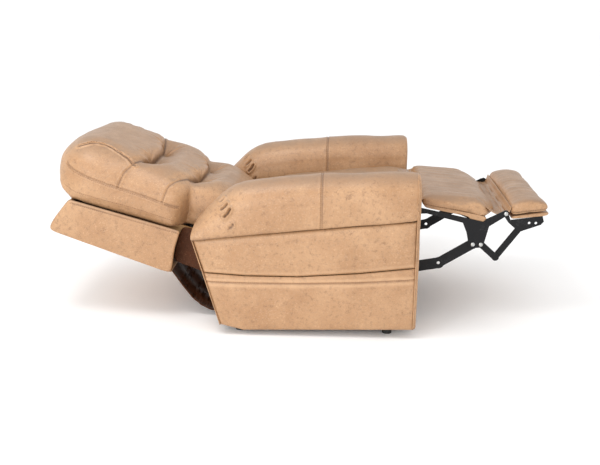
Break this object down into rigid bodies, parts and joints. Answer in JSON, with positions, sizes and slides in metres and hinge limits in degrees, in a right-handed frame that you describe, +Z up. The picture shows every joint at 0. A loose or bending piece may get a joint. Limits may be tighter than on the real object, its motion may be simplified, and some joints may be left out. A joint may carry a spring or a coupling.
{
  "type": "lift recliner chair",
  "caption": "Powered lift recliner chair with padded roll arms, a tufted back and a folding two-pad footrest; shown lowered, laid back and with the footrest out.",
  "frame": {"origin": "on the floor, at the middle of the chair's footprint box as it lies back with the footrest out", "axes": "+X towards the feet, +Y towards the sitter's left arm, +Z up; the X-Z plane through the origin is the middle of the seat"},
  "size_m": [1.8302, 0.88, 0.6707],
  "materials": {
    "tan_upholstery": "distressed, soft sheen",
    "brown_cloth": "matt lining cloth",
    "black_cloth": "matt dust cloth",
    "frame_wood": "raw plywood",
    "black_steel": "satin black",
    "spring_steel": "bare wire",
    "rod_steel": "polished",
    "motor_plastic": "moulded black",
    "key_plastic": "grey keys",
    "glide_plastic": "hard black"
  },
  "bodies": {
    "floor_frame": {"floor_rails": "black_steel", "floor_cross_tubes": "black_steel", "floor_glides": "glide_plastic", "lift_brackets": "black_steel", "power_box": "motor_plastic"},
    "front_links": {"front_lift_links": "black_steel", "lift_torque_tube": "black_steel"},
    "rear_links": {"rear_lift_links": "black_steel"},
    "lift_barrel": {"lift_motor": "motor_plastic"},
    "lift_piston": {"lift_rod": "rod_steel"},
    "seat_frame": {"side_plates": "black_steel", "chassis_tubes": "black_steel", "chassis_lift_plates": "black_steel", "motor_hangers": "black_steel", "arm_brackets": "black_steel", "seat_box_sides": "frame_wood", "seat_box_ends": "frame_wood", "seat_springs": "spring_steel", "seat_cushion": "tan_upholstery", "right_arm_boards": "frame_wood", "right_arm_end_boards": "frame_wood", "right_arm_skin": "tan_upholstery", "right_arm_pocket": "tan_upholstery", "right_arm_roll": "tan_upholstery", "right_arm_facing": "tan_upholstery", "left_arm_boards": "frame_wood", "left_arm_end_boards": "frame_wood", "left_arm_skin": "tan_upholstery", "left_arm_pocket": "tan_upholstery", "left_arm_roll": "tan_upholstery", "left_arm_facing": "tan_upholstery", "handset": "motor_plastic"},
    "up_key": {"up_button": "key_plastic"},
    "down_key": {"down_button": "key_plastic"},
    "backrest": {"back_posts": "frame_wood", "back_rails": "black_steel", "back_shell_sides": "tan_upholstery", "back_shell_panel": "tan_upholstery", "shell_lining": "black_cloth", "back_stem_panels": "brown_cloth", "head_cushion": "tan_upholstery", "shoulder_cushion": "tan_upholstery", "lumbar_cushion": "tan_upholstery", "back_flap": "brown_cloth", "flap_straps": "black_cloth"},
    "back_barrel": {"back_motor": "motor_plastic"},
    "back_piston": {"back_rod": "rod_steel"},
    "foot_crank": {"foot_crank_links": "black_steel", "foot_torque_tube": "black_steel"},
    "foot_barrel": {"foot_motor": "motor_plastic"},
    "foot_piston": {"foot_rod": "rod_steel"},
    "ottoman": {"ottoman_board": "frame_wood", "ottoman_pad": "tan_upholstery", "ottoman_brackets": "black_steel"},
    "long_link_pair": {"long_links": "black_steel"},
    "lower_elbow_pair": {"lower_elbow_links": "black_steel"},
    "extension": {"extension_board": "frame_wood", "extension_pad": "tan_upholstery", "extension_brackets": "black_steel"},
    "upper_elbow_pair": {"upper_elbow_links": "black_steel"}
  },
  "joints": [
    {"name": "lift", "type": "hinge", "parent": "floor_frame", "child": "front_links", "pos_m": [0.20505, 0, 0.089], "axis": [0, 1, 0], "range_deg": [0, 50]},
    {"name": "chassis_tilt", "type": "hinge", "parent": "front_links", "child": "seat_frame", "pos_m": [-0.04655, 0, 0.11], "axis": [0, 1, 0], "range_deg": [-30.45, 0.5]},
    {"name": "rear_lift", "type": "hinge", "parent": "floor_frame", "child": "rear_links", "pos_m": [0.16506, 0, 0.11], "axis": [0, 1, 0], "range_deg": [-0.5, 45.15]},
    {"name": "lift_barrel_swing", "type": "hinge", "parent": "floor_frame", "child": "lift_barrel", "pos_m": [-0.19495, 0, 0.075], "axis": [0, 1, 0], "range_deg": [-1, 4]},
    {"name": "lift_rod_end", "type": "hinge", "parent": "front_links", "child": "lift_piston", "pos_m": [0.16702, 0, 0.17057], "axis": [0, 1, 0], "range_deg": [-50, 1]},
    {"name": "recline", "type": "hinge", "parent": "seat_frame", "child": "backrest", "pos_m": [-0.24494, 0, 0.273], "axis": [0, 1, 0], "range_deg": [0, 46]},
    {"name": "back_barrel_swing", "type": "hinge", "parent": "seat_frame", "child": "back_barrel", "pos_m": [0.07505, 0, 0.215], "axis": [0, 1, 0], "range_deg": [-1, 1]},
    {"name": "back_rod_end", "type": "hinge", "parent": "backrest", "child": "back_piston", "pos_m": [-0.21759, 0, 0.20857], "axis": [0, 1, 0], "range_deg": [-47, 1]},
    {"name": "footrest", "type": "hinge", "parent": "seat_frame", "child": "ottoman", "pos_m": [0.44005, 0, 0.43], "axis": [0, 1, 0], "range_deg": [0, 90]},
    {"name": "foot_crank_turn", "type": "hinge", "parent": "seat_frame", "child": "foot_crank", "pos_m": [0.19906, 0, 0.331], "axis": [0, 1, 0], "range_deg": [-1, 91]},
    {"name": "foot_barrel_swing", "type": "hinge", "parent": "seat_frame", "child": "foot_barrel", "pos_m": [-0.13495, 0, 0.275], "axis": [0, 1, 0], "range_deg": [-2, 1]},
    {"name": "foot_rod_end", "type": "hinge", "parent": "foot_crank", "child": "foot_piston", "pos_m": [0.22734, 0, 0.30272], "axis": [0, 1, 0], "range_deg": [-92, 1]},
    {"name": "long_link_swing", "type": "hinge", "parent": "ottoman", "child": "long_link_pair", "pos_m": [0.64606, 0, 0.306], "axis": [0, 1, 0], "range_deg": [-91, 1]},
    {"name": "extension_fold", "type": "hinge", "parent": "ottoman", "child": "extension", "pos_m": [0.75806, 0, 0.425], "axis": [0, 1, 0], "range_deg": [-1, 91]},
    {"name": "lower_elbow_swing", "type": "hinge", "parent": "ottoman", "child": "lower_elbow_pair", "pos_m": [0.67505, 0, 0.306], "axis": [0, 1, 0], "range_deg": [-1, 91]},
    {"name": "upper_elbow_swing", "type": "hinge", "parent": "extension", "child": "upper_elbow_pair", "pos_m": [0.81705, 0, 0.372], "axis": [0, 1, 0], "range_deg": [-91, 1]},
    {"name": "up_press", "type": "slide", "parent": "seat_frame", "child": "up_key", "axis": [0, -1, 0], "range_m": [0, 0.0015], "stiffness_N_per_m": 800, "springref_m": -0.001},
    {"name": "down_press", "type": "slide", "parent": "seat_frame", "child": "down_key", "axis": [0, -1, 0], "range_m": [0, 0.0015], "stiffness_N_per_m": 800, "springref_m": -0.001}
  ],
  "couplings": [
    {"joint": "chassis_tilt", "follows": "lift", "ratio": -0.599},
    {"joint": "rear_lift", "follows": "lift", "ratio": 0.893},
    {"joint": "lift_barrel_swing", "follows": "lift", "ratio": 0.05},
    {"joint": "lift_rod_end", "follows": "lift", "ratio": -0.95},
    {"joint": "back_barrel_swing", "follows": "recline", "ratio": 0.004},
    {"joint": "back_rod_end", "follows": "recline", "ratio": -0.996},
    {"joint": "foot_crank_turn", "follows": "footrest", "ratio": 1},
    {"joint": "foot_barrel_swing", "follows": "footrest", "ratio": -0.009},
    {"joint": "foot_rod_end", "follows": "footrest", "ratio": -1.009},
    {"joint": "long_link_swing", "follows": "footrest", "ratio": -1},
    {"joint": "extension_fold", "follows": "footrest", "ratio": 1},
    {"joint": "lower_elbow_swing", "follows": "footrest", "ratio": 1},
    {"joint": "upper_elbow_swing", "follows": "footrest", "ratio": -1}
  ]
}
